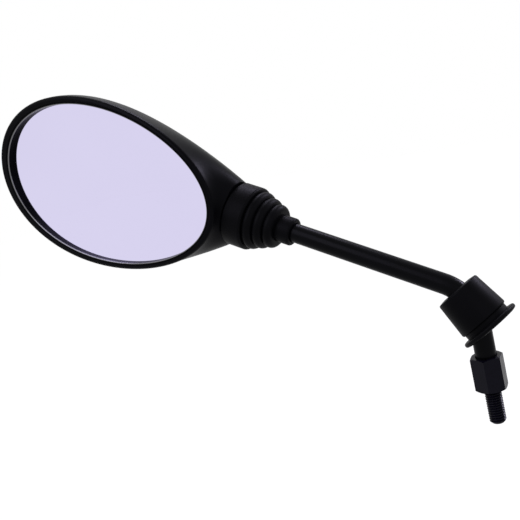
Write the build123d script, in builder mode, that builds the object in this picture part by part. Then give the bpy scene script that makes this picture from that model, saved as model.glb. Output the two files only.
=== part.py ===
import os
from math import asin, cos, pi, radians, sin, tan

from build123d import *

# Motorcycle mirror: bent stem with a threaded end, ball joint under a bellows boot, egg-shaped head.
# Millimetres. Origin on the thread axis, where the free thread meets the lock nut. +Z up the thread,
# the stem leans towards -X, the glass faces -Y.

# stem
rod_dia = 10.0
thread_dia = 8.0
thread_pitch_dia = 7.2
thread_length = 17.0
thread_chamfer = 1.2
bend_height = 32.2
bend_radius = 23.0
bend_angle = 66.4
stem_length = 116.8
tip_dia = 7.0
tip_length = 30.0
tip_chamfer = 1.0

# lock nut
nut_across_flats = 14.0
nut_height = 16.5
nut_gap = 0.3
nut_turn = 8.0
nut_cone_angle = 30.0
nut_counterbore_depth = 3.2
nut_counterbore_clearance = 0.25
thread_clearance = 0.05
shoulder_clearance = 0.3

# dust cap
cap_seat_angle = 50.0
cap_tilt = 35.0
cap_top_dia = 22.9
cap_bottom_dia = 25.0
cap_body_length = 17.4
cap_groove_dia = 23.4
cap_groove_length = 2.6
cap_lip_dia = 29.5
cap_lip_length = 3.6
cap_bore_dia = 19.8
cap_throat_dia = 21.8
cap_mouth_dia = 26.6
cap_top_wall = 3.0
cap_edge_radius = 0.9
cap_rod_clearance = 0.3

# ball joint
ball_depth = 15.0
ball_dia = 14.0
ball_bore_depth = 10.5
press_clearance = 0.02
seat_thickness = 1.7
seat_clearance = 0.05
seat_parting_gap = 2.4
roll_limit = 8.0
pan_limit = 12.0
swing_margin = 0.6

# boot
boot_gap = 0.3
cuff_dia = 33.8
cuff_length = 11.6
cuff_edge_radius = 1.4
fold_count = 3
fold_length = 15.2
first_fold_dia = 30.8
last_fold_dia = 23.2
first_groove_dia = 29.0
last_groove_dia = 18.0
collar_dia = 14.5
collar_length = 8.2
collar_edge_radius = 1.2
boot_wall = 1.3
boot_rod_clearance = 0.3

# head: rim and glass
rim_turn = 3.95
rim_rise = 3.5
rim_height = 22.0
rim_tip = -1.5
rim_far = -154.8
rim_far_land = 2.5
rim_half_width = 47.2
rim_egg = 0.081
rim_wall = 2.6
rim_outer_radius = 1.8
rim_inner_chamfer = 0.3
bezel_width = 1.5
bezel_drop = 0.3
bezel_edge_radius = 0.5
glass_radius = 1400.0
glass_crown_depth = 1.7
glass_thickness = 2.0
glass_clearance = 0.3
pad_thickness = 1.5
pad_inset = 6.0
backing_thickness = 2.0
ledge_width = 3.0

# head: shell and neck
shell_depth = 41.0
shell_wall = 2.6
shell_deepest = -45.0
shell_roundness = 2.4
shell_side_power = 2.0
shell_end_power = 3.0
cavity_start = 0.4
neck_reach = 18.0
neck_share = 0.67
neck_taper = 0.42
neck_back_power = 24.0
settle_start = 1.5
settle_power = 2.0
neck_wall = 3.0
spigot_dia = 28.0
spigot_length = 5.0
socket_wall = 2.7
socket_drop = 1.5
boss_dia = 7.2
boss_spread_x = 15.0
boss_spread_y = 24.0

# clamp
clamp_height = 3.5
clamp_thickness = 1.2
clamp_margin = 3.4
screw_dia = 3.5
screw_length = 10.0
screw_clearance = 0.1
screw_room = 1.0
screw_head_dia = 6.4
screw_head_height = 2.2
screw_slot_width = 0.9
screw_slot_depth = 1.0
washer_dia = 6.4
washer_thickness = 1.0
washer_slit = 0.8

# points of the egg outline, and angles at which the shell's curve is cut into sections
egg_points = 24
shell_angles = (0, 10, 20, 30, 40, 50, 60, 68, 75, 81, 86)

os.makedirs("parts", exist_ok=True)


def write(builder, name):
    builder.part.label = name
    export_step(builder.part, f"parts/{name}.step")


stem_way = Vector(-sin(radians(bend_angle)), 0, cos(radians(bend_angle)))
front_way = Vector(0, -1, 0)
bend_centre = Vector(-bend_radius, 0, bend_height)
bend_end = bend_centre + Vector(cos(radians(bend_angle)), 0, sin(radians(bend_angle))) * bend_radius
neck_point = bend_end + stem_way * stem_length
ball_point = neck_point + stem_way * ball_depth

# head plane: x back along the stem, y up in the plane of the glass, z out of the glass
head = Plane(origin=neck_point, x_dir=stem_way * -1, z_dir=front_way)
rim_x = head.x_dir * cos(radians(rim_turn)) + head.y_dir * sin(radians(rim_turn))
rim_plane = Plane(origin=neck_point, x_dir=rim_x, z_dir=front_way)
ball_plane = Plane(origin=ball_point, x_dir=stem_way * -1, z_dir=front_way)
along_stem = Plane(origin=ball_point, x_dir=front_way, z_dir=stem_way * -1)

# stem: rod swept round its bend, with a turned tip for the ball and a threaded foot for the mount
nut_top = nut_gap + nut_height
shoulder_height = nut_top - nut_counterbore_depth + shoulder_clearance
rod_end_length = stem_length + ball_depth - tip_length
with BuildPart() as stem:
    with BuildLine(Plane.XZ) as rod_path:
        foot = Line((0, shoulder_height), (0, bend_height))
        bend = JernArc(foot @ 1, foot % 1, bend_radius, bend_angle)
        Line(bend @ 1, (bend @ 1) + (bend % 1) * rod_end_length)
    with BuildSketch(Plane.XY.offset(shoulder_height)):
        Circle(rod_dia / 2)
    sweep(path=rod_path.wires()[0])
    chamfer(stem.faces().sort_by(Axis(bend_end, stem_way))[-1].edges(), tip_chamfer)
    ball_bottom = ball_bore_depth - ball_dia / 2
    with BuildSketch(along_stem.offset(-ball_bottom)):
        Circle(tip_dia / 2)
    extrude(amount=tip_length + ball_bottom)
    with BuildSketch(Plane.XY):
        Circle(thread_pitch_dia / 2)
    extrude(amount=shoulder_height)
    with BuildSketch(Plane.XY):
        Circle(thread_dia / 2)
    extrude(amount=-thread_length)
    chamfer(stem.faces().sort_by(Axis.Z)[0].edges(), thread_chamfer)
write(stem, "stem")

# stem ball: turned ball, bored and pressed on the tip of the stem
with BuildPart() as stem_ball:
    with Locations(along_stem):
        Sphere(ball_dia / 2)
    with BuildSketch(along_stem.offset(-ball_bottom)):
        Circle(tip_dia / 2 + press_clearance)
    extrude(amount=ball_dia, mode=Mode.SUBTRACT)
write(stem_ball, "stem_ball")

# lock nut: long hexagon with turned cones on both ends and a counterbore for the rod
hex_half_angle = 180 / 6
with BuildPart() as lock_nut:
    with BuildSketch(Plane.XY.offset(nut_gap)):
        RegularPolygon(nut_across_flats / 2, 6, major_radius=False, rotation=nut_turn + hex_half_angle)
    extrude(amount=nut_height)
    corner_radius = nut_across_flats / 2 / cos(radians(hex_half_angle))
    cone_drop = (corner_radius - nut_across_flats / 2) * tan(radians(nut_cone_angle))
    with BuildSketch(Plane.XZ):
        with BuildLine():
            Polyline(
                (0, nut_gap),
                (nut_across_flats / 2, nut_gap),
                (corner_radius, nut_gap + cone_drop),
                (corner_radius, nut_top - cone_drop),
                (nut_across_flats / 2, nut_top),
                (0, nut_top),
                close=True,
            )
        make_face()
    revolve(axis=Axis.Z, mode=Mode.INTERSECT)
    with BuildSketch(Plane.XY):
        Circle(thread_pitch_dia / 2 + thread_clearance)
    extrude(amount=nut_top, mode=Mode.SUBTRACT)
    with BuildSketch(Plane.XY.offset(nut_top)):
        Circle(rod_dia / 2 + nut_counterbore_clearance)
    extrude(amount=-nut_counterbore_depth, mode=Mode.SUBTRACT)
write(lock_nut, "lock_nut")

# dust cap: moulded rubber cap, its top hole curved like the bend that it slides on
cap_seat = bend_centre + Vector(cos(radians(cap_seat_angle)), 0, sin(radians(cap_seat_angle))) * bend_radius
cap_up = Vector(-sin(radians(cap_tilt)), 0, cos(radians(cap_tilt)))
cap_side = Plane(
    origin=cap_seat,
    x_dir=(cos(radians(cap_tilt)), 0, sin(radians(cap_tilt))),
    z_dir=front_way,
)
groove_top = -cap_body_length
groove_bottom = groove_top - cap_groove_length
cap_bottom = groove_bottom - cap_lip_length
cap_rounded = [
    Vector(cap_top_dia / 2, 0),
    Vector(cap_bottom_dia / 2, groove_top),
    Vector(cap_lip_dia / 2, groove_bottom),
    Vector(cap_lip_dia / 2, cap_bottom),
]
with BuildPart() as dust_cap:
    with BuildSketch(cap_side) as cap_section:
        with BuildLine():
            Polyline(
                (0, 0),
                (cap_top_dia / 2, 0),
                (cap_bottom_dia / 2, groove_top),
                (cap_groove_dia / 2, groove_top),
                (cap_groove_dia / 2, groove_bottom),
                (cap_lip_dia / 2, groove_bottom),
                (cap_lip_dia / 2, cap_bottom),
                (cap_mouth_dia / 2, cap_bottom),
                (cap_throat_dia / 2, groove_bottom),
                (cap_bore_dia / 2, groove_top),
                (cap_bore_dia / 2, -cap_top_wall),
                (0, -cap_top_wall),
                close=True,
            )
        make_face()
        outer_corners = [
            corner
            for corner in cap_section.vertices()
            if any(
                corner.distance_to(cap_side.from_local_coords(point)) < cap_rod_clearance
                for point in cap_rounded
            )
        ]
        fillet(outer_corners, cap_edge_radius)
    revolve(axis=Axis(cap_seat, cap_up))
    with BuildSketch(Plane.XY.offset(bend_height)):
        Circle(rod_dia / 2 + cap_rod_clearance)
    revolve(axis=Axis(bend_centre, front_way), revolution_arc=bend_angle, mode=Mode.SUBTRACT)
write(dust_cap, "dust_cap")

# boot: revolved bellows, from the cuff on the neck down to the collar on the rod
def fold_share(index):
    return index / fold_count


grooves = [
    (
        cuff_length + fold_length * fold_share(i),
        (first_groove_dia + (last_groove_dia - first_groove_dia) * fold_share(i)) / 2,
    )
    for i in range(fold_count + 1)
]
crests = [
    (
        cuff_length + fold_length * (i + 0.5) / fold_count,
        (first_fold_dia + (last_fold_dia - first_fold_dia) * i / (fold_count - 1)) / 2,
    )
    for i in range(fold_count)
]
collar_start = cuff_length + fold_length
collar_end = collar_start + collar_length
with BuildPart() as boot:
    with BuildSketch(head) as boot_section:
        with BuildLine():
            cuff_side = Line((boot_gap, cuff_dia / 2), (cuff_length - cuff_edge_radius, cuff_dia / 2))
            cuff_round = JernArc(cuff_side @ 1, cuff_side % 1, cuff_edge_radius, -90)
            Line(cuff_round @ 1, grooves[0])
            for i in range(fold_count):
                ThreePointArc(grooves[i], crests[i], grooves[i + 1])
            Line(grooves[-1], (collar_start, collar_dia / 2))
            collar_side = Line(
                (collar_start, collar_dia / 2),
                (collar_end - collar_edge_radius, collar_dia / 2),
            )
            collar_round = JernArc(collar_side @ 1, collar_side % 1, collar_edge_radius, -90)
            bore_radius = rod_dia / 2 + boot_rod_clearance
            collar_start_inner = (collar_start + boot_wall, bore_radius)
            Polyline(collar_round @ 1, (collar_end, bore_radius), collar_start_inner)
            inner_last = (collar_start - boot_wall, grooves[-1][1] - boot_wall)
            Line(collar_start_inner, inner_last)
            inner_grooves = [(x, r - boot_wall) for x, r in grooves[1:-1]]
            inner_points = [(cuff_length, grooves[0][1] - boot_wall)] + inner_grooves + [inner_last]
            for i in range(fold_count):
                inner_crest = (crests[i][0], crests[i][1] - boot_wall)
                ThreePointArc(inner_points[i + 1], inner_crest, inner_points[i])
            spigot_room = spigot_dia / 2 + boot_gap
            Polyline(
                inner_points[0],
                (cuff_length - boot_wall, spigot_room),
                (boot_gap, spigot_room),
                (boot_gap, cuff_dia / 2),
            )
        make_face()
    revolve(axis=Axis(neck_point, stem_way))
write(boot, "boot")


# egg outline on a plane of the head: near tip, far end, half width, rise, and how much fuller the far half is
def egg_face(level, tip, far, half_width, rise, egg):
    centre = (tip + far) / 2
    half_length = (tip - far) / 2
    points = []
    for step in range(egg_points):
        angle = 2 * pi * step / egg_points
        across = half_width * sin(angle) * (1 - egg * cos(angle))
        points.append((centre + half_length * cos(angle), rise + across))
    with BuildSketch(rim_plane.offset(level)) as outline:
        with BuildLine():
            Spline(*points, periodic=True)
        make_face()
    return outline.sketch.face()


# outline of the rim's opening, drawn in from the rim by a distance and from its far end by a land as well
opening_far = rim_far + rim_far_land


def rim_face(level, inset):
    return egg_face(level, rim_tip - inset, opening_far + inset, rim_half_width - inset, rim_rise, rim_egg)


# shares of the shell's depth, close together where its back closes
shell_shares = [sin(radians(angle)) ** (2 / shell_roundness) for angle in shell_angles]


# the shell's outline at a share of its depth, drawn in by a wall
def shell_face(share, wall):
    side = (1 - share**shell_roundness) ** (1 / shell_side_power)
    end = (1 - share**shell_roundness) ** (1 / shell_end_power)
    settle = (1 - share**settle_start) ** settle_power
    reach = neck_reach * sin(pi / 2 * share / neck_share) ** 2
    back = (1 - share**neck_back_power) ** (1 / shell_side_power)
    return egg_face(
        rim_height - (shell_depth - wall) * share,
        shell_deepest + (rim_tip + reach - shell_deepest) * back - wall,
        shell_deepest + (rim_far - shell_deepest) * end + wall,
        rim_half_width * side - wall,
        rim_rise * settle,
        rim_egg + neck_taper * (1 - settle),
    )


# room that the tip of the stem sweeps inside the head
swing_angle = radians((roll_limit**2 + pan_limit**2) ** 0.5)
swing_length = ball_depth + spigot_length + ball_dia
swing_start = tip_dia / 2 / cos(swing_angle) + swing_margin
with BuildPart() as swing_room:
    with Locations(along_stem):
        Cone(
            swing_start,
            swing_start + swing_length * tan(swing_angle),
            swing_length,
            align=(Align.CENTER, Align.CENTER, Align.MIN),
        )

# solid cap of a ball about the joint's centre, in front of a level
ball_side = Plane(origin=ball_point, x_dir=head.x_dir, z_dir=head.x_dir.cross(front_way))


def ball_cap(radius, level):
    edge_angle = asin(level / radius)
    middle_angle = (edge_angle + pi / 2) / 2
    edge = (radius * cos(edge_angle), level)
    middle = (radius * cos(middle_angle), radius * sin(middle_angle))
    with BuildPart() as cap:
        with BuildSketch(ball_side):
            with BuildLine():
                ThreePointArc(edge, middle, (0, radius))
                Polyline((0, radius), (0, level), edge)
            make_face()
        revolve(axis=Axis(ball_point, front_way))
    return cap.part


seat_inner = ball_dia / 2 + seat_clearance
seat_outer = seat_inner + seat_thickness
socket_radius = seat_outer + seat_clearance
clamp_dome = socket_radius + clamp_thickness
neck_plane = Plane(origin=neck_point, x_dir=front_way, z_dir=stem_way * -1)

# convex glass, pad and backing plate lie between domes of one centre, at these depths below the glass face
crown_level = rim_height - glass_crown_depth
pad_front = glass_thickness
backing_front = pad_front + pad_thickness
ledge_depth = backing_front + backing_thickness
glass_middle = rim_plane.from_local_coords(Vector((rim_tip + opening_far) / 2, rim_rise, 0))
glass_axis = Axis(glass_middle, front_way)
dome_side = Plane(origin=glass_middle, x_dir=rim_x, z_dir=rim_x.cross(front_way))


# solid dome whose top is the sphere at a depth below the glass face
def dome(depth):
    reach = rim_tip - rim_far
    radius = glass_radius - depth
    top = crown_level - depth
    half_drop = radius - (radius**2 - (reach / 2) ** 2) ** 0.5
    full_drop = radius - (radius**2 - reach**2) ** 0.5
    with BuildPart() as body:
        with BuildSketch(dome_side):
            with BuildLine():
                arc = ThreePointArc((0, top), (reach / 2, top - half_drop), (reach, top - full_drop))
                Polyline(arc @ 1, (reach, -rim_height), (0, -rim_height), (0, top))
            make_face()
        revolve(axis=glass_axis)
    return body.part


# hollow of the housing, round its ball socket and screw bosses
ledge_level = crown_level - ledge_depth + screw_clearance
cavity_shares = [share for share in shell_shares if share > cavity_start]
cavity_faces = [rim_face(ledge_level, rim_wall + ledge_width)]
cavity_faces += [shell_face(share, shell_wall) for share in cavity_shares[:-1]]
with BuildPart() as cavity:
    loft(cavity_faces)
    split(bisect_by=neck_plane.offset(-neck_wall), keep=Keep.BOTTOM)
    with BuildSketch(ball_plane.offset(-socket_drop)):
        Circle(socket_radius + socket_wall)
    extrude(amount=-shell_depth, mode=Mode.SUBTRACT)
    with BuildSketch(ball_plane.offset(clamp_height)):
        with GridLocations(boss_spread_x, boss_spread_y, 2, 2):
            Circle(boss_dia / 2)
    extrude(amount=-shell_depth, mode=Mode.SUBTRACT)

# recess for bezel, glass, pad and backing plate, down to the domed ledge
with BuildPart() as recess:
    extrude(rim_face(rim_height, rim_wall), amount=-rim_height)
    loft([
        rim_face(rim_height, rim_wall - rim_inner_chamfer),
        rim_face(rim_height - rim_inner_chamfer, rim_wall),
    ])
    add(dome(ledge_depth), mode=Mode.SUBTRACT)

# housing: egg sections from the rim to the back, whose near tips run on past the neck and are cut off there
with BuildPart() as mirror_housing:
    loft([shell_face(share, 0) for share in shell_shares])
    fillet(mirror_housing.faces().sort_by(Axis(neck_point, front_way))[-1].edges(), rim_outer_radius)
    split(bisect_by=neck_plane, keep=Keep.BOTTOM)
    add(cavity.part, mode=Mode.SUBTRACT)
    add(recess.part, mode=Mode.SUBTRACT)
    with BuildSketch(neck_plane):
        Circle(spigot_dia / 2)
    extrude(amount=spigot_length)
    add(swing_room.part, mode=Mode.SUBTRACT)
    with Locations(along_stem):
        Sphere(socket_radius, mode=Mode.SUBTRACT)
    with BuildSketch(ball_plane.offset(clamp_height)):
        with GridLocations(boss_spread_x, boss_spread_y, 2, 2):
            Circle(screw_dia / 2 + screw_clearance)
    extrude(amount=-(screw_length - clamp_thickness - washer_thickness + screw_room), mode=Mode.SUBTRACT)
write(mirror_housing, "mirror_housing")

# bezel ring: glossy ring inside the rim, resting on the edge of the glass
bezel_level = rim_height - bezel_drop
with BuildPart() as bezel_ring:
    extrude(rim_face(bezel_level, rim_wall + press_clearance), amount=-rim_height)
    extrude(rim_face(bezel_level, rim_wall + bezel_width), amount=-rim_height, mode=Mode.SUBTRACT)
    add(dome(0), mode=Mode.SUBTRACT)
    bezel_front = bezel_ring.faces().sort_by(Axis(neck_point, front_way))[-1]
    fillet(bezel_front.edges().sort_by(SortBy.LENGTH)[0], bezel_edge_radius)
write(bezel_ring, "bezel_ring")

# mirror glass: convex sheet, its edge under the bezel
with BuildPart() as mirror_glass:
    extrude(rim_face(rim_height, rim_wall + glass_clearance), amount=-rim_height)
    add(dome(0), mode=Mode.INTERSECT)
    add(dome(pad_front), mode=Mode.SUBTRACT)
write(mirror_glass, "mirror_glass")

# glass pad: foam cushion between the glass and its backing
with BuildPart() as glass_pad:
    extrude(rim_face(rim_height, rim_wall + pad_inset), amount=-rim_height)
    add(dome(pad_front), mode=Mode.INTERSECT)
    add(dome(backing_front), mode=Mode.SUBTRACT)
write(glass_pad, "glass_pad")

# backing plate: stiff sheet on the ledge of the housing
with BuildPart() as backing_plate:
    extrude(rim_face(rim_height, rim_wall + glass_clearance), amount=-rim_height)
    add(dome(backing_front), mode=Mode.INTERSECT)
    add(dome(ledge_depth), mode=Mode.SUBTRACT)
write(backing_plate, "backing_plate")


# seats: two half shells on the ball, open where the stem swings
def half_seat(side):
    parting = seat_parting_gap / 2
    with BuildPart() as seat:
        add(ball_cap(seat_outer, parting))
        add(ball_cap(seat_inner, parting), mode=Mode.SUBTRACT)
        if side < 0:
            mirror(about=ball_plane, mode=Mode.REPLACE)
        add(swing_room.part, mode=Mode.SUBTRACT)
    return seat


write(half_seat(-1), "rear_seat")
write(half_seat(1), "front_seat")

# clamp plate: pressed steel, dished over the front seat and screwed to the bosses
with BuildPart() as clamp_plate:
    with BuildSketch(ball_plane.offset(clamp_height)):
        RectangleRounded(
            boss_spread_x + 2 * clamp_margin,
            boss_spread_y + 2 * clamp_margin,
            clamp_margin,
        )
    extrude(amount=clamp_thickness)
    add(ball_cap(clamp_dome, clamp_height))
    add(ball_cap(socket_radius, 0), mode=Mode.SUBTRACT)
    add(swing_room.part, mode=Mode.SUBTRACT)
    with BuildSketch(ball_plane.offset(clamp_height)):
        with GridLocations(boss_spread_x, boss_spread_y, 2, 2):
            Circle(screw_dia / 2 + screw_clearance)
    extrude(amount=clamp_thickness, mode=Mode.SUBTRACT)
write(clamp_plate, "clamp_plate")

# screw washers: split spring washers on the plate
washer_level = clamp_height + clamp_thickness
with BuildPart() as screw_washers:
    with BuildSketch(ball_plane.offset(washer_level)):
        with GridLocations(boss_spread_x, boss_spread_y, 2, 2):
            Circle(washer_dia / 2)
            Circle(screw_dia / 2 + screw_clearance, mode=Mode.SUBTRACT)
            Rectangle(washer_dia, washer_slit, align=(Align.MIN, Align.CENTER), mode=Mode.SUBTRACT)
    extrude(amount=washer_thickness)
write(screw_washers, "screw_washers")

# clamp screws: slotted cheese heads on plain shanks
head_level = washer_level + washer_thickness
with BuildPart() as clamp_screws:
    with BuildSketch(ball_plane.offset(head_level)):
        with GridLocations(boss_spread_x, boss_spread_y, 2, 2):
            Circle(screw_head_dia / 2)
    extrude(amount=screw_head_height)
    with BuildSketch(ball_plane.offset(head_level)):
        with GridLocations(boss_spread_x, boss_spread_y, 2, 2):
            Circle(screw_dia / 2)
    extrude(amount=-screw_length)
    with BuildSketch(ball_plane.offset(head_level + screw_head_height)):
        with GridLocations(boss_spread_x, boss_spread_y, 2, 2):
            Rectangle(screw_head_dia, screw_slot_width)
    extrude(amount=-screw_slot_depth, mode=Mode.SUBTRACT)
write(clamp_screws, "clamp_screws")
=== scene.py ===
import math

import bmesh
import bpy
from mathutils import Matrix, Vector


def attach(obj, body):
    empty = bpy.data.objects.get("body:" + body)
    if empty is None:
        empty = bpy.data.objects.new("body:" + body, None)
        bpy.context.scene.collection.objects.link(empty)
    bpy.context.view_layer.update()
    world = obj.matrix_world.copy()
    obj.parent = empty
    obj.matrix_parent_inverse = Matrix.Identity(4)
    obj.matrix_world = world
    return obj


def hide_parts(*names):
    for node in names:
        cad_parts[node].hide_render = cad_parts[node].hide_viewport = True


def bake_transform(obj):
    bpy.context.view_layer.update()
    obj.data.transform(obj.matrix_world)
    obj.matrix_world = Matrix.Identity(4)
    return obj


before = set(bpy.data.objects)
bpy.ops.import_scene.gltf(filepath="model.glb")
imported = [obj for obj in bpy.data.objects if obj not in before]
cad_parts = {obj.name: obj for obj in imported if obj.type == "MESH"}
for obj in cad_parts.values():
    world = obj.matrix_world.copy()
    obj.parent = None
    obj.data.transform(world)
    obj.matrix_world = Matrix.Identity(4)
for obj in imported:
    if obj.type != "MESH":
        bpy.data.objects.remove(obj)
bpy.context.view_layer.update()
print("frame loaded:", len(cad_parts), "nodes")

mm = 0.001
mmPerMetre = 1000
fullTurn = 2 * math.pi
quarterTurn = math.pi / 2


# sRGB hex to the linear colour that a shader takes
def hexColour(code):
    parts = [int(code[i:i + 2], 16) / 255 for i in (1, 3, 5)]
    linear = [c / 12.92 if c <= 0.04045 else ((c + 0.055) / 1.055) ** 2.4 for c in parts]
    return (*linear, 1.0)


# one node with its settings and links
# a setting is a property of the node, or the name or number of an input
def addNode(tree, kind, settings=None, links=None):
    node = tree.nodes.new(kind)
    for name, value in (settings or {}).items():
        if isinstance(name, str) and hasattr(node, name):
            setattr(node, name, value)
        else:
            node.inputs[name].default_value = value
    for name, source in (links or {}).items():
        tree.links.new(source, node.inputs[name])
    return node


def emptyMaterial(name):
    material = bpy.data.materials.new(name)
    material.use_nodes = True
    material.node_tree.nodes.clear()
    return material, material.node_tree


noiseLow, noiseHigh = 0.3, 0.7  # most of a noise pattern lies between these
grainDepth = 0.1  # depth of a grain, as a share of its width
waveTurn = 20.0  # at a scale of 1, the wave texture turns by this many radians in a metre


# links for a shader whose shade and gloss both follow one pattern
def shadeAndGloss(tree, spec, pattern):
    shade = addNode(
        tree,
        "ShaderNodeMix",
        {"data_type": "RGBA", 6: hexColour(spec["colour"]), 7: hexColour(spec["paler"])},
        {0: pattern},
    )
    low, high = spec["roughness"]
    gloss = addNode(
        tree,
        "ShaderNodeMapRange",
        {"From Min": noiseLow, "From Max": noiseHigh, "To Min": low, "To Max": high},
        {"Value": pattern},
    )
    return {"Base Color": shade.outputs[2], "Roughness": gloss.outputs["Result"]}


# moulded plastic and rubber, and baked enamel: a fine grain in the bump, a slow drift of shade and gloss
def mouldedMaterial(spec):
    material, tree = emptyMaterial(spec["name"])
    place = addNode(tree, "ShaderNodeTexCoord").outputs["Object"]
    drift = addNode(
        tree,
        "ShaderNodeTexNoise",
        {"Scale": mmPerMetre / spec["driftMm"], "Detail": 3.0},
        {"Vector": place},
    )
    grain = addNode(
        tree,
        "ShaderNodeTexNoise",
        {"Scale": mmPerMetre / spec["grainMm"], "Detail": 2.0},
        {"Vector": place},
    )
    bump = addNode(
        tree,
        "ShaderNodeBump",
        {"Strength": spec["bump"], "Distance": spec["grainMm"] * grainDepth * mm},
        {"Height": grain.outputs["Fac"]},
    )
    shader = addNode(
        tree,
        "ShaderNodeBsdfPrincipled",
        {"Specular IOR Level": spec["specular"], "IOR": spec["ior"], "Coat Weight": spec.get("coat", 0.0)},
        {**shadeAndGloss(tree, spec, drift.outputs["Fac"]), "Normal": bump.outputs["Normal"]},
    )
    addNode(tree, "ShaderNodeOutputMaterial", links={"Surface": shader.outputs[0]})
    return material


# plated and turned steel: tool lines across the axis, and small stains in the plating
# real tool lines, about 0.2 mm apart, are too fine to show, so they are drawn 2 to 3 mm apart
def platedMaterial(spec):
    material, tree = emptyMaterial(spec["name"])
    place = addNode(tree, "ShaderNodeTexCoord").outputs["Object"]
    stains = addNode(
        tree,
        "ShaderNodeTexNoise",
        {"Scale": mmPerMetre / spec["stainMm"], "Detail": 5.0},
        {"Vector": place},
    )
    lineScale = mmPerMetre / spec["lineMm"] * fullTurn / waveTurn
    lines = addNode(
        tree,
        "ShaderNodeTexWave",
        {"bands_direction": "Z", "Scale": lineScale, "Distortion": 1.5, "Detail": 2.0},
        {"Vector": place},
    )
    bump = addNode(
        tree,
        "ShaderNodeBump",
        {"Strength": spec["bump"], "Distance": spec["lineDepthMm"] * mm},
        {"Height": lines.outputs["Fac"]},
    )
    shader = addNode(
        tree,
        "ShaderNodeBsdfPrincipled",
        {"Metallic": spec["metallic"], "Specular IOR Level": spec["specular"]},
        {**shadeAndGloss(tree, spec, stains.outputs["Fac"]), "Normal": bump.outputs["Normal"]},
    )
    addNode(tree, "ShaderNodeOutputMaterial", links={"Surface": shader.outputs[0]})
    return material


# silvered glass: a clean cool mirror, with a breath of haze in its tint and its sharpness
def mirrorMaterial(spec):
    material, tree = emptyMaterial(spec["name"])
    place = addNode(tree, "ShaderNodeTexCoord").outputs["Object"]
    haze = addNode(
        tree,
        "ShaderNodeTexNoise",
        {"Scale": mmPerMetre / spec["hazeMm"], "Detail": 4.0},
        {"Vector": place},
    )
    shader = addNode(
        tree,
        "ShaderNodeBsdfPrincipled",
        {"Metallic": 1.0},
        shadeAndGloss(tree, spec, haze.outputs["Fac"]),
    )
    addNode(tree, "ShaderNodeOutputMaterial", links={"Surface": shader.outputs[0]})
    return material


# foam rubber: open cells, each darkened towards its middle by painted shade where its pit lies
def foamMaterial(spec):
    material, tree = emptyMaterial(spec["name"])
    place = addNode(tree, "ShaderNodeTexCoord").outputs["Object"]
    cells = addNode(tree, "ShaderNodeTexVoronoi", {"Scale": mmPerMetre / spec["cellMm"]}, {"Vector": place})
    # painted shade: the colour is darkest at each cell's middle, where the bump sinks into a pit
    shade = addNode(
        tree,
        "ShaderNodeMix",
        {"data_type": "RGBA", 6: hexColour(spec["colour"]), 7: hexColour(spec["paler"])},
        {0: cells.outputs["Distance"]},
    )
    bump = addNode(
        tree,
        "ShaderNodeBump",
        {"Strength": spec["bump"], "Distance": spec["cellDepthMm"] * mm},
        {"Height": cells.outputs["Distance"]},
    )
    shader = addNode(
        tree,
        "ShaderNodeBsdfPrincipled",
        {"Roughness": spec["roughness"]},
        {"Base Color": shade.outputs[2], "Normal": bump.outputs["Normal"]},
    )
    addNode(tree, "ShaderNodeOutputMaterial", links={"Surface": shader.outputs[0]})
    return material


# black ABS from a spark-eroded mould: satin, nearly black, a faint grain (0.3 mm, drawn at 0.6 mm to show)
housingAbs = mouldedMaterial({
    "name": "black moulded ABS", "colour": "#030304", "paler": "#060609", "roughness": (0.32, 0.40),
    "driftMm": 40, "grainMm": 0.6, "bump": 0.04, "specular": 0.025, "ior": 1.53,
})
# the same ABS from a polished mould: smooth dark ring round the glass
bezelAbs = mouldedMaterial({
    "name": "polished black ABS", "colour": "#020203", "paler": "#050507", "roughness": (0.24, 0.30),
    "driftMm": 30, "grainMm": 2.0, "bump": 0.01, "specular": 0.02, "ior": 1.53,
})
# its rounded lip, burnished by wiping: catches the light as a thin line
lipAbs = mouldedMaterial({
    "name": "burnished black ABS", "colour": "#0C0C10", "paler": "#141419", "roughness": (0.12, 0.18),
    "driftMm": 30, "grainMm": 2.0, "bump": 0.01, "specular": 1.0, "ior": 1.53, "coat": 1.0,
})
# EPDM rubber, moulded: dull black with a soft bloom
bootRubber = mouldedMaterial({
    "name": "black EPDM rubber", "colour": "#030304", "paler": "#070709", "roughness": (0.40, 0.50),
    "driftMm": 14, "grainMm": 0.5, "bump": 0.08, "specular": 0.03, "ior": 1.5,
})
# baked enamel over steel: smooth black with a trace of orange peel (2 mm)
stemEnamel = mouldedMaterial({
    "name": "black baked enamel", "colour": "#030304", "paler": "#060609", "roughness": (0.26, 0.34),
    "driftMm": 25, "grainMm": 2.0, "bump": 0.08, "specular": 0.04, "ior": 1.5,
})
# natural nylon, injection moulded: waxy ivory
seatNylon = mouldedMaterial({
    "name": "natural nylon", "colour": "#DDD9CC", "paler": "#E8E4D8", "roughness": (0.40, 0.50),
    "driftMm": 8, "grainMm": 0.6, "bump": 0.1, "specular": 0.5, "ior": 1.53,
})
# plain ABS sheet behind the glass: dull dark grey
backingAbs = mouldedMaterial({
    "name": "plain grey ABS", "colour": "#2E2E31", "paler": "#38383C", "roughness": (0.50, 0.60),
    "driftMm": 30, "grainMm": 0.8, "bump": 0.1, "specular": 0.4, "ior": 1.53,
})
# black zinc plating: a black film over steel, dark seen straight on, with a grey sheen along its flats
nutPlating = platedMaterial({
    "name": "black zinc plating", "colour": "#06050C", "paler": "#0C0B15", "roughness": (0.24, 0.32),
    "stainMm": 3, "lineMm": 3.14, "lineDepthMm": 0.02, "bump": 0.10, "metallic": 0.0, "specular": 0.06,
})
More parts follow.
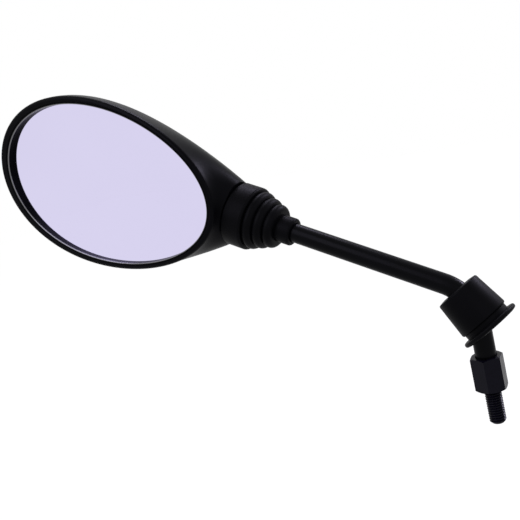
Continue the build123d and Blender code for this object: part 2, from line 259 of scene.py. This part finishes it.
# bright zinc on the clamp and its screws, bare turned steel on the ball: clear metal with soft streaks
clampZinc = platedMaterial({
    "name": "bright zinc plating", "colour": "#B9BBBE", "paler": "#CBCCCF", "roughness": (0.28, 0.38),
    "stainMm": 5, "lineMm": 2.51, "lineDepthMm": 0.02, "bump": 0.15, "metallic": 1.0, "specular": 0.5,
})
ballSteel = platedMaterial({
    "name": "turned steel", "colour": "#9C9EA2", "paler": "#ADAFB3", "roughness": (0.18, 0.26),
    "stainMm": 6, "lineMm": 1.88, "lineDepthMm": 0.02, "bump": 0.2, "metallic": 1.0, "specular": 0.5,
})
# silvered convex glass with a cool lavender cast
mirrorSilver = mirrorMaterial({
    "name": "silvered glass", "colour": "#D3CEEA", "paler": "#DBD6F2", "roughness": (0.02, 0.05),
    "hazeMm": 120,
})
# foam rubber sheet, cut: matt grey with open cells, their pits darkened by painted shade
padFoam = foamMaterial({
    "name": "grey foam rubber", "colour": "#2A2A2D", "paler": "#4A4A4E", "roughness": 0.95,
    "cellMm": 1.2, "cellDepthMm": 0.2, "bump": 0.6,
})

nodeFinish = {
    "mirror_housing": housingAbs, "bezel_ring": bezelAbs, "mirror_glass": mirrorSilver,
    "glass_pad": padFoam, "backing_plate": backingAbs, "boot": bootRubber, "stem": stemEnamel,
    "stem_ball": ballSteel, "lock_nut": nutPlating, "dust_cap": bootRubber, "rear_seat": seatNylon,
    "front_seat": seatNylon, "clamp_plate": clampZinc, "clamp_screws": clampZinc,
    "screw_washers": clampZinc,
}
for name, material in nodeFinish.items():
    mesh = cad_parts[name].data
    mesh.materials.clear()
    mesh.materials.append(material)
print("materials on", len(nodeFinish), "nodes")

mergeGap = 1e-6  # vertices closer than this, in metres, are one
sideWay = Vector((0, 1, 0))  # across the plane of the stem's bend, away from the rider


# object at the origin for a finished mesh, smooth with its real edges kept sharp
def pieceFromMesh(name, mesh, sharpDeg):
    mesh.shade_smooth()
    mesh.set_sharp_from_angle(angle=math.radians(sharpDeg))
    piece = bpy.data.objects.new(name, mesh)
    bpy.context.scene.collection.objects.link(piece)
    return piece


# piece from a modelled shape, its faces turned outwards
def pieceFromBmesh(name, shape, material, sharpDeg):
    bmesh.ops.remove_doubles(shape, verts=shape.verts, dist=mergeGap)
    bmesh.ops.recalc_face_normals(shape, faces=shape.faces)
    mesh = bpy.data.meshes.new(name)
    shape.to_mesh(mesh)
    shape.free()
    mesh.materials.append(material)
    return pieceFromMesh(name, mesh, sharpDeg)


# rings of vertices, each a list, joined to a skin; closed joins the last ring to the first
def skinRings(shape, rings, closed):
    for k in range(len(rings) if closed else len(rings) - 1):
        near = rings[k]
        far = rings[(k + 1) % len(rings)]
        count = len(near)
        for i in range(count):
            shape.faces.new((near[i], near[(i + 1) % count], far[(i + 1) % count], far[i]))


# ring of vertices about a centre in mm, round from the across direction to the side
def addRing(shape, centre, across, radius, sides):
    ring = []
    for i in range(sides):
        angle = fullTurn * i / sides
        place = centre + (across * math.cos(angle) + sideWay * math.sin(angle)) * radius
        ring.append(shape.verts.new(place * mm))
    return ring


# quarter round at the outer end of a flat: from the flat at its top to the upright at x
def cornerRound(x, top, radius, steps):
    angles = [quarterTurn * k / steps for k in range(steps + 1)]
    return [(x - radius + radius * math.sin(a), top - radius + radius * math.cos(a)) for a in angles]


# direction in the plane of the stem's bend, turned from straight out towards up
def bendWay(angle):
    return Vector((math.cos(angle), 0, math.sin(angle)))


# stem: sizes in mm, along the rod from the free thread to the ball
stem = {
    "rodDia": 10.0, "coreDia": 7.2, "shoulderZ": 13.9, "footZ": 0.3, "bendZ": 32.2, "bendRadius": 23.0,
    "bendDeg": 66.4, "straight": 116.8, "ballDepth": 15.0, "tipLength": 30.0, "tipDia": 7.0, "tipEnd": 3.5,
    "edge": 0.8, "ringStep": 1.5, "sides": 64, "sharpDeg": 35,
}
bendAngle = math.radians(stem["bendDeg"])
bendLength = stem["bendRadius"] * bendAngle
upWay = bendWay(bendAngle)
stemWay = bendWay(bendAngle + quarterTurn)
bendCentre = Vector((-stem["bendRadius"], 0, stem["bendZ"]))
bendEnd = bendCentre + upWay * stem["bendRadius"]
neckPoint = bendEnd + stemWay * stem["straight"]


# point and across direction at a length along the rod's centre line, counted from the origin
def rodPlace(length):
    turned = min(max(length - stem["bendZ"], 0), bendLength) / stem["bendRadius"]
    rest = length - stem["bendZ"] - turned * stem["bendRadius"]
    across = bendWay(turned)
    along = bendWay(turned + quarterTurn)
    return bendCentre + across * stem["bendRadius"] + along * rest, across


def makeStemRod():
    rodEnd = stem["bendZ"] + bendLength + stem["straight"] + stem["ballDepth"]
    foot = stem["shoulderZ"]
    shoulder = rodEnd - stem["tipLength"]
    rodR, coreR, tipR = (stem[part + "Dia"] / 2 for part in ("rod", "core", "tip"))
    edge = stem["edge"]
    first = foot + edge
    last = shoulder - edge
    steps = int((shoulder - foot) / stem["ringStep"])
    profile = [(stem["footZ"], coreR), (foot, coreR), (foot, rodR - edge)]
    profile += [(first + (last - first) * k / steps, rodR) for k in range(steps + 1)]
    profile += [(shoulder, rodR - edge), (shoulder, tipR), (rodEnd + stem["tipEnd"], tipR)]
    shape = bmesh.new()
    rings = [addRing(shape, *rodPlace(length), radius, stem["sides"]) for length, radius in profile]
    skinRings(shape, rings, False)
    shape.faces.new(rings[0])
    shape.faces.new(rings[-1])
    return pieceFromBmesh("stemRod", shape, stemEnamel, stem["sharpDeg"])


stemRod = makeStemRod()
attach(stemRod, "stem")
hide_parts("stem")
print("stem rod:", len(stemRod.data.polygons), "faces")

# free thread below the nut, in mm: turns of a 60 degree thread cut into the foot of the stem
# the flank's slope is over 1 and its shift below 0, which leaves a flat root and a flat crest
thread = {
    "outerDia": 8.0, "pitch": 1.25, "depth": 0.72, "length": 17.0, "chamfer": 1.2, "flankSlope": 1.33,
    "flankShift": -0.12, "sides": 72, "rowsPerTurn": 14, "sharpDeg": 50,
}
# its rule, a sum in each row: the result, what is done, and the sizes, results or numbers it is done with
threadRule = (
    ("outer", "DIVIDE", "outerDia", 2.0),
    ("half", "DIVIDE", "length", 2.0),
    ("angle", "ARCTAN2", "Y", "X"),
    ("turned", "DIVIDE", "angle", fullTurn),
    ("climbed", "DIVIDE", "Z", "pitch"),
    ("turns", "SUBTRACT", "climbed", "turned"),
    ("zigzag", "PINGPONG", "turns", 0.5),
    ("wave", "MULTIPLY", "zigzag", 2.0),
    ("sloped", "MULTIPLY_ADD", "wave", "flankSlope", "flankShift"),
    ("rooted", "MAXIMUM", "sloped", 0.0),
    ("flank", "MINIMUM", "rooted", 1.0),
    ("below", "SUBTRACT", "flank", 1.0),
    ("cut", "MULTIPLY_ADD", "below", "depth", "outer"),
    ("tip", "SUBTRACT", "outer", "chamfer"),
    ("fromTip", "ADD", "Z", "half"),
    ("cone", "ADD", "tip", "fromTip"),
    ("radius", "MINIMUM", "cut", "cone"),
    ("share", "DIVIDE", "radius", "outer"),
    ("newX", "MULTIPLY", "X", "share"),
    ("newY", "MULTIPLY", "Y", "share"),
    ("newZ", "SUBTRACT", "Z", "half"),
)


# tree that turns a plain cylinder into a thread: each point's radius follows its height and its angle
def threadTree():
    tree = bpy.data.node_groups.new("threadTurns", "GeometryNodeTree")
    measures = ("outerDia", "pitch", "depth", "length", "chamfer", "flankSlope", "flankShift")
    for name in measures:
        tree.interface.new_socket(name, in_out="INPUT", socket_type="NodeSocketFloat")
    for name in ("sides", "rows"):
        tree.interface.new_socket(name, in_out="INPUT", socket_type="NodeSocketInt")
    tree.interface.new_socket("finish", in_out="INPUT", socket_type="NodeSocketMaterial")
    tree.interface.new_socket("Geometry", in_out="OUTPUT", socket_type="NodeSocketGeometry")
    sizes = addNode(tree, "NodeGroupInput").outputs
    position = addNode(tree, "GeometryNodeInputPosition").outputs[0]
    point = addNode(tree, "ShaderNodeSeparateXYZ", links={0: position})
    known = {name: sizes[name] for name in measures}
    known.update({axis: point.outputs[axis] for axis in "XYZ"})
    for result, operation, *terms in threadRule:
        settings = {"operation": operation}
        links = {}
        for i, term in enumerate(terms):
            if isinstance(term, str):
                links[i] = known[term]
            else:
                settings[i] = term
        known[result] = addNode(tree, "ShaderNodeMath", settings, links).outputs[0]
    blank = addNode(
        tree,
        "GeometryNodeMeshCylinder",
        {"fill_type": "NGON"},
        {
            "Vertices": sizes["sides"], "Side Segments": sizes["rows"],
            "Radius": known["outer"], "Depth": sizes["length"],
        },
    )
    place = addNode(
        tree,
        "ShaderNodeCombineXYZ",
        links={axis: known["new" + axis] for axis in "XYZ"},
    )
    cutThread = addNode(
        tree,
        "GeometryNodeSetPosition",
        links={"Geometry": blank.outputs["Mesh"], "Position": place.outputs[0]},
    )
    inMetres = addNode(
        tree,
        "GeometryNodeTransform",
        {"Scale": (mm, mm, mm)},
        {"Geometry": cutThread.outputs[0]},
    )
    real = addNode(tree, "GeometryNodeRealizeInstances", links={"Geometry": inMetres.outputs[0]})
    plated = addNode(
        tree,
        "GeometryNodeSetMaterial",
        links={"Geometry": real.outputs[0], "Material": sizes["finish"]},
    )
    addNode(tree, "NodeGroupOutput", links={"Geometry": plated.outputs[0]})
    return tree


# plain mesh from a geometry tree: inputs by name go in by the sockets' own identifiers
def pieceFromTree(name, tree, inputs, sharpDeg):
    holder = bpy.data.objects.new(name + "Holder", bpy.data.meshes.new(name + "Holder"))
    bpy.context.scene.collection.objects.link(holder)
    modifier = holder.modifiers.new("tree", "NODES")
    modifier.node_group = tree
    for item in tree.interface.items_tree:
        if item.in_out == "INPUT":
            modifier[item.identifier] = inputs[item.name]
    depsgraph = bpy.context.evaluated_depsgraph_get()
    mesh = bpy.data.meshes.new_from_object(holder.evaluated_get(depsgraph), depsgraph=depsgraph)
    holder.modifiers.remove(modifier)
    bpy.data.objects.remove(holder)
    mesh.name = name
    return pieceFromMesh(name, mesh, sharpDeg)


threadRows = int(thread["length"] / thread["pitch"] * thread["rowsPerTurn"])
threadInputs = {**thread, "rows": threadRows, "finish": nutPlating}
stemThread = pieceFromTree("stemThread", threadTree(), threadInputs, thread["sharpDeg"])
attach(stemThread, "stem")
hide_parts("stem")
print("stem thread:", len(stemThread.data.polygons), "faces")

# boot: bellows in mm, along the stem from the neck of the head
# it is split on its middle crest into two halves
boot = {
    "gap": 0.3, "cuffDia": 33.8, "cuffLength": 11.6, "cuffEdge": 1.4, "cuffSteps": 6, "mouthEdge": 0.5,
    "folds": 3, "foldLength": 15.2, "crestDia": (30.8, 23.2), "grooveDia": (29.0, 18.0),
    "collarDia": 14.5, "collarLength": 8.2, "collarEdge": 1.2, "collarSteps": 5, "wall": 1.3, "web": 1.1,
    "spigotDia": 28.6, "boreDia": 10.6, "arcSteps": 10, "seamShare": 0.98, "seamSlack": 1e-4,
    "rollStart": 28.2, "rollPastCut": 0.2, "panBeforeCut": 0.4, "panEnd": 11.2, "sides": 96, "sharpDeg": 40,
}


# points of the arc through three points, with as many steps on each side of the middle one
# the last step on each side is close to the middle
def arcThrough(a, b, c, steps):
    ax, ay, bx, by, cx, cy = *a, *b, *c
    d = 2 * (ax * (by - cy) + bx * (cy - ay) + cx * (ay - by))
    aa, bb, cc = ax * ax + ay * ay, bx * bx + by * by, cx * cx + cy * cy
    ux = (aa * (by - cy) + bb * (cy - ay) + cc * (ay - by)) / d
    uy = (aa * (cx - bx) + bb * (ax - cx) + cc * (bx - ax)) / d
    start, middle, end = (math.atan2(y - uy, x - ux) for x, y in (a, b, c))
    before = (middle - start) % fullTurn
    after = (end - middle) % fullTurn
    if before + after > fullTurn:  # the short way is the other way round
        before -= fullTurn
        after -= fullTurn
    shares = [k / steps for k in range(steps)] + [boot["seamShare"]]
    angles = [start + before * share for share in shares] + [middle]
    angles += [end - after * share for share in reversed(shares)]
    radius = math.hypot(ax - ux, ay - uy)
    return [(ux + radius * math.cos(angle), uy + radius * math.sin(angle)) for angle in angles]


# radius at a share of the way between two diameters
def radiusBetween(diameters, share):
    return (diameters[0] + (diameters[1] - diameters[0]) * share) / 2


# outer and inner outline from the cuff to the collar, and the station of the middle crest
def bootProfile():
    folds, steps, wall, gap = boot["folds"], boot["arcSteps"], boot["wall"], boot["gap"]
    cuffR, collarR, spigotR, boreR = (boot[part + "Dia"] / 2 for part in ("cuff", "collar", "spigot", "bore"))
    start = boot["cuffLength"]
    end = start + boot["foldLength"]
    foot = end + boot["collarLength"]
    grooves = [
        (start + boot["foldLength"] * i / folds, radiusBetween(boot["grooveDia"], i / folds))
        for i in range(folds + 1)
    ]
    crests = [
        (start + boot["foldLength"] * (i + 0.5) / folds, radiusBetween(boot["crestDia"], i / (folds - 1)))
        for i in range(folds)
    ]
    outer = [(gap, cuffR - boot["mouthEdge"]), (gap + boot["mouthEdge"], cuffR)]
    outer += cornerRound(start, cuffR, boot["cuffEdge"], boot["cuffSteps"])
    for i in range(folds):
        outer += arcThrough(grooves[i], crests[i], grooves[i + 1], steps)
    outer += [(end, collarR)]
    outer += cornerRound(foot, collarR, boot["collarEdge"], boot["collarSteps"])
    innerGrooves = [(x, r - wall) for x, r in grooves[:-1]] + [(end - wall, grooves[-1][1])]
    innerCrests = [(x, r - wall) for x, r in crests]
    inner = [(gap, spigotR), (start - wall, spigotR)]
    for i in range(folds):
        inner += arcThrough(innerGrooves[i], innerCrests[i], innerGrooves[i + 1], steps)
    inner += [(end - wall / 2, boreR + boot["web"]), (end + wall, boreR), (foot, boreR)]
    return outer, inner, crests[folds // 2][0]


# half of the boot on one side of its cut: 1 towards the stem, -1 towards the head
def makeBootHalf(name, side):
    outer, inner, cut = bootProfile()
    section = [(x, r) for x, r in outer + inner[::-1] if (x - cut) * side > -boot["seamSlack"]]
    shape = bmesh.new()
    rings = [addRing(shape, neckPoint - stemWay * x, upWay, r, boot["sides"]) for x, r in section]
    skinRings(shape, rings, True)
    return pieceFromBmesh(name, shape, bootRubber, boot["sharpDeg"])


bootCut = bootProfile()[2]
bootCollar = makeBootHalf("bootCollar", 1)
bootCuff = makeBootHalf("bootCuff", -1)
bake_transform(bootCollar)
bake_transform(bootCuff)
for half in (bootCollar, bootCuff):
    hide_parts("boot")
print("boot: two halves, cut at", round(bootCut, 2), "mm")

# cap: rubber dust cap in mm, turned about its own axis from its top face
# the rod's bend is a hole in its top
cap = {
    "seatDeg": 50.0, "tiltDeg": 35.0, "topDia": 23.3, "bottomDia": 25.2, "bodyLength": 18.6,
    "grooveDia": 23.4, "grooveLength": 2.4, "lipDia": 30.2, "lipLength": 2.6, "mouthDia": 26.8,
    "throatDia": 21.8, "boreDia": 19.8, "topWall": 3.0, "holeDia": 10.6, "holeLand": 2.2,
    "topEdge": 1.4, "bodyEdge": 0.9, "lipEdge": 1.2, "innerEdge": 0.5,
    "edgeSteps": 7, "holeSteps": 6, "searchSteps": 40, "sides": 128, "sharpDeg": 40,
}
capTilt = math.radians(cap["tiltDeg"])
capSeat = bendCentre + bendWay(math.radians(cap["seatDeg"])) * stem["bendRadius"]
capOut = bendWay(capTilt)
capUp = bendWay(capTilt + quarterTurn)


# outline from (radius, height, corner radius) with its corners rounded
def roundCorners(corners, steps):
    outline = []
    for k, (r, z, radius) in enumerate(corners):
        if not radius:
            outline.append((r, z))
            continue
        here = Vector((r, z))
        back, on = ((Vector(corners[k + way][:2]) - here).normalized() for way in (-1, 1))
        half = back.angle(on) / 2
        centre = here + (back + on).normalized() * radius / math.sin(half)
        first, last = (here + way * radius / math.tan(half) - centre for way in (back, on))
        outline += [tuple(centre + first.slerp(last, i / steps)) for i in range(steps + 1)]
    return outline


# wall of the hole at a height of the cap, found along the rod's bend
def capHolePoint(turn, height):
    radius = cap["holeDia"] / 2
    reach = stem["bendRadius"] + radius * math.cos(turn)
    aside = sideWay * radius * math.sin(turn)
    low, high = 0.0, quarterTurn
    for _ in range(cap["searchSteps"]):
        middle = (low + high) / 2
        place = bendCentre + bendWay(middle) * reach + aside
        if (place - capSeat).dot(capUp) < height:
            low = middle
        else:
            high = middle
    return place


def makeDustCap():
    ceiling = -cap["topWall"]
    grooveTop = -cap["bodyLength"]
    grooveBottom = grooveTop - cap["grooveLength"]
    bottom = grooveBottom - cap["lipLength"]
    parts = ("top", "bottom", "groove", "lip", "mouth", "throat", "bore", "hole")
    half = {part: cap[part + "Dia"] / 2 for part in parts}
    land = half["hole"] + cap["holeLand"]
    outline = roundCorners([
        (land, 0, 0), (half["top"], 0, cap["topEdge"]), (half["bottom"], grooveTop, cap["bodyEdge"]),
        (half["groove"], grooveTop, 0), (half["groove"], grooveBottom, 0),
        (half["lip"], grooveBottom, cap["lipEdge"]), (half["lip"], bottom, cap["lipEdge"]),
        (half["mouth"], bottom, 0), (half["throat"], grooveBottom, 0), (half["bore"], grooveTop, 0),
        (half["bore"], ceiling, cap["innerEdge"]), (land, ceiling, 0),
    ], cap["edgeSteps"])
    shape = bmesh.new()
    rings = [addRing(shape, capSeat + capUp * z, capOut, r, cap["sides"]) for r, z in outline]
    turns = [fullTurn * i / cap["sides"] for i in range(cap["sides"])]
    for k in range(cap["holeSteps"] + 1):
        height = ceiling * (1 - k / cap["holeSteps"])
        rings.append([shape.verts.new(capHolePoint(turn, height) * mm) for turn in turns])
    skinRings(shape, rings, True)
    return pieceFromBmesh("dustCap", shape, bootRubber, cap["sharpDeg"])


dustCap = makeDustCap()
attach(dustCap, "dust_cap")
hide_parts("dust_cap")
print("dust cap:", len(dustCap.data.polygons), "faces")

# rim: its opening in mm, an egg on planes that face the rider; glass and ring are drawn in from it
rim = {
    "turnDeg": 3.95, "rise": 3.5, "height": 22.0, "tip": -1.5, "far": -152.3, "halfWidth": 47.2,
    "egg": 0.081, "wall": 2.6, "sides": 192,
}
rimTurn = math.radians(rim["turnDeg"])
frontWay = Vector((0, -1, 0))
rimX = upWay * math.sin(rimTurn) - stemWay * math.cos(rimTurn)
rimY = upWay * math.cos(rimTurn) + stemWay * math.sin(rimTurn)
rimMiddle = (rim["tip"] + rim["far"]) / 2
rimHalf = (rim["tip"] - rim["far"]) / 2


# place on the egg from the middle of the glass, drawn in from the rim by a distance
def eggPlace(inset, turn):
    along = (rimHalf - inset) * math.cos(turn)
    across = (rim["halfWidth"] - inset) * math.sin(turn) * (1 - rim["egg"] * math.cos(turn))
    return along, across


def rimVertex(shape, along, across, level):
    place = neckPoint + rimX * (rimMiddle + along) + rimY * (rim["rise"] + across) + frontWay * level
    return shape.verts.new(place * mm)


# mirror glass: convex sheet in mm, its edge ground all round
glass = {
    "radius": 1400.0, "crownDepth": 1.7, "thickness": 2.0, "clearance": 0.3, "ground": 0.3, "rings": 26,
    "sharpDeg": 30,
}


# level of the sphere that lies a depth below the face of the glass
def glassLevel(along, across, depth=0.0):
    radius = glass["radius"] - depth
    drop = radius - math.sqrt(radius**2 - along**2 - across**2)
    return rim["height"] - glass["crownDepth"] - depth - drop


def makeMirrorGlass():
    edge = rim["wall"] + glass["clearance"]
    ground, thick = glass["ground"], glass["thickness"]
    shares = [k / glass["rings"] for k in range(1, glass["rings"] + 1)]
    steps = [(edge + ground, share, 0.0) for share in shares]
    steps += [(edge, 1.0, ground), (edge, 1.0, thick - ground)]
    steps += [(edge + ground, share, thick) for share in reversed(shares)]
    shape = bmesh.new()
    rings = []
    for inset, share, depth in steps:
        ring = []
        for i in range(rim["sides"]):
            along, across = (share * d for d in eggPlace(inset, fullTurn * i / rim["sides"]))
            ring.append(rimVertex(shape, along, across, glassLevel(along, across, depth)))
        rings.append(ring)
    skinRings(shape, rings, False)
    for ring, depth in ((rings[0], 0.0), (rings[-1], thick)):
        crown = rimVertex(shape, 0, 0, glassLevel(0, 0, depth))
        for i in range(rim["sides"]):
            shape.faces.new((ring[i], ring[(i + 1) % rim["sides"]], crown))
    return pieceFromBmesh("mirrorGlass", shape, mirrorSilver, glass["sharpDeg"])


mirrorGlass = makeMirrorGlass()
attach(mirrorGlass, "head")
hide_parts("mirror_glass")
print("glass:", len(mirrorGlass.data.polygons), "faces")

# bezel ring: polished lip on the edge of the glass, in mm, its inner edge rounded
bezel = {
    "width": 1.5, "drop": 0.3, "edge": 0.5, "edgeSteps": 8, "slack": 0.02, "outerEdge": 0.15, "sharpDeg": 35,
}


def makeBezelRing():
    outer = rim["wall"] + bezel["slack"]
    inner = rim["wall"] + bezel["width"]
    top = rim["height"] - bezel["drop"]
    front = [(outer, top - bezel["outerEdge"]), (outer + bezel["outerEdge"], top)]
    lipStart = 1 + len(front)  # the outer foot comes first
    front += cornerRound(inner, top, bezel["edge"], bezel["edgeSteps"])
    perSection = len(front) + 2
    shape = bmesh.new()
    sections = []
    for i in range(rim["sides"]):
        turn = fullTurn * i / rim["sides"]
        outerFoot, innerFoot = ((inset, glassLevel(*eggPlace(inset, turn))) for inset in (outer, inner))
        section = [outerFoot, *front, innerFoot]
        sections.append([rimVertex(shape, *eggPlace(inset, turn), level) for inset, level in section])
    skinRings(shape, sections, True)
    for number, face in enumerate(shape.faces):
        if lipStart <= number % perSection < lipStart + bezel["edgeSteps"]:  # the rounded lip
            face.material_index = 1
    ring = pieceFromBmesh("bezelRing", shape, bezelAbs, bezel["sharpDeg"])
    ring.data.materials.append(lipAbs)
    return ring


bezelRing = makeBezelRing()
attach(bezelRing, "head")
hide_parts("bezel_ring")
print("bezel ring:", len(bezelRing.data.polygons), "faces")

# studio: pale floor well below the part, soft lamps, white all round; lengths in metres, lamps in watts
studio = {
    "floorZ": -0.25, "floorSize": 6.0, "floorPaint": "#F2F2F2", "floorSeen": 0.9, "floorShine": 1.08,
    "white": "#FFFFFF", "worldSeen": 1.0, "worldLight": 0.35, "lampColour": "#E2DDFA",
    "aim": (-0.12, 0, 0.08),
    "lamps": (
        ("keyLamp", (-0.45, -0.75, 0.80), 0.80, 7.0),
        ("fillLamp", (0.85, -0.55, 0.45), 1.00, 3.0),
        ("topLamp", (-0.30, 0.55, 0.85), 0.30, 4.0),
        ("backLamp", (0.35, 0.80, 0.55), 0.22, 7.0),
    ),
}


# one level for the camera and for reflections, another for the light that falls on things
def levelByRay(tree, seenLevel, otherwise):
    path = addNode(tree, "ShaderNodeLightPath").outputs
    seen = path["Is Camera Ray"]
    for ray in ("Is Glossy Ray", "Is Transmission Ray"):
        either = addNode(tree, "ShaderNodeMath", {"operation": "MAXIMUM"}, {0: seen, 1: path[ray]})
        seen = either.outputs[0]
    level = addNode(tree, "ShaderNodeMapRange", {"To Min": otherwise, "To Max": seenLevel}, {"Value": seen})
    return level.outputs[0]


def makeWorld():
    world = bpy.data.worlds.new("studio")
    world.use_nodes = True
    tree = world.node_tree
    tree.nodes.clear()
    level = levelByRay(tree, studio["worldSeen"], studio["worldLight"])
    white = addNode(tree, "ShaderNodeBackground", {"Color": hexColour(studio["white"])}, {"Strength": level})
    addNode(tree, "ShaderNodeOutputWorld", links={"Surface": white.outputs[0]})
    bpy.context.scene.world = world


# floor of pale paint, which keeps the shadow; seen, most of it is an even shine that makes it white
def makeFloor():
    material, tree = emptyMaterial("pale floor")
    level = levelByRay(tree, studio["floorSeen"], 0.0)
    paint = addNode(tree, "ShaderNodeBsdfDiffuse", {"Color": hexColour(studio["floorPaint"])})
    shine = addNode(
        tree,
        "ShaderNodeEmission",
        {"Color": hexColour(studio["white"]), "Strength": studio["floorShine"]},
    )
    both = addNode(tree, "ShaderNodeMixShader", links={0: level, 1: paint.outputs[0], 2: shine.outputs[0]})
    addNode(tree, "ShaderNodeOutputMaterial", links={"Surface": both.outputs[0]})
    half = studio["floorSize"] / 2
    around = ((-half, -half), (half, -half), (half, half), (-half, half))
    mesh = bpy.data.meshes.new("floor")
    mesh.from_pydata([(x, y, studio["floorZ"]) for x, y in around], [], [(0, 1, 2, 3)])
    mesh.materials.append(material)
    floor = bpy.data.objects.new("floor", mesh)
    bpy.context.scene.collection.objects.link(floor)


def makeLamps():
    aim = Vector(studio["aim"])
    for name, place, size, power in studio["lamps"]:
        lamp = bpy.data.lights.new(name, "AREA")
        lamp.size = size
        lamp.energy = power
        lamp.color = hexColour(studio["lampColour"])[:3]
        holder = bpy.data.objects.new(name, lamp)
        holder.location = place
        holder.rotation_euler = (aim - Vector(place)).to_track_quat("-Z", "Y").to_euler()
        bpy.context.scene.collection.objects.link(holder)


makeWorld()
makeFloor()
makeLamps()
print("studio:", len(studio["lamps"]), "lamps")

# camera where the photograph was taken from, in mm, with its right, up and back directions
camera = {
    "place": (146.68, -366.13, 160.83), "right": (0.818156, 0.527875, -0.227967),
    "up": (0.081598, 0.285865, 0.954789), "back": (0.569178, -0.799768, 0.190809),
    "lens": 59.54, "sensor": 36.0, "clipStart": 10.0,
}


def makeCamera():
    data = bpy.data.cameras.new("camera")
    data.lens = camera["lens"]
    data.sensor_width = camera["sensor"]
    data.clip_start = camera["clipStart"] * mm
    holder = bpy.data.objects.new("camera", data)
    axes = [Vector(camera[name]) for name in ("right", "up", "back")] + [Vector(camera["place"]) * mm]
    rows = [[axis[i] for axis in axes] for i in range(3)]
    holder.matrix_world = Matrix(rows + [[0, 0, 0, 1]])
    bpy.context.scene.collection.objects.link(holder)
    bpy.context.scene.camera = holder


makeCamera()
bpy.context.scene.view_settings.view_transform = "Standard"
print("camera set")
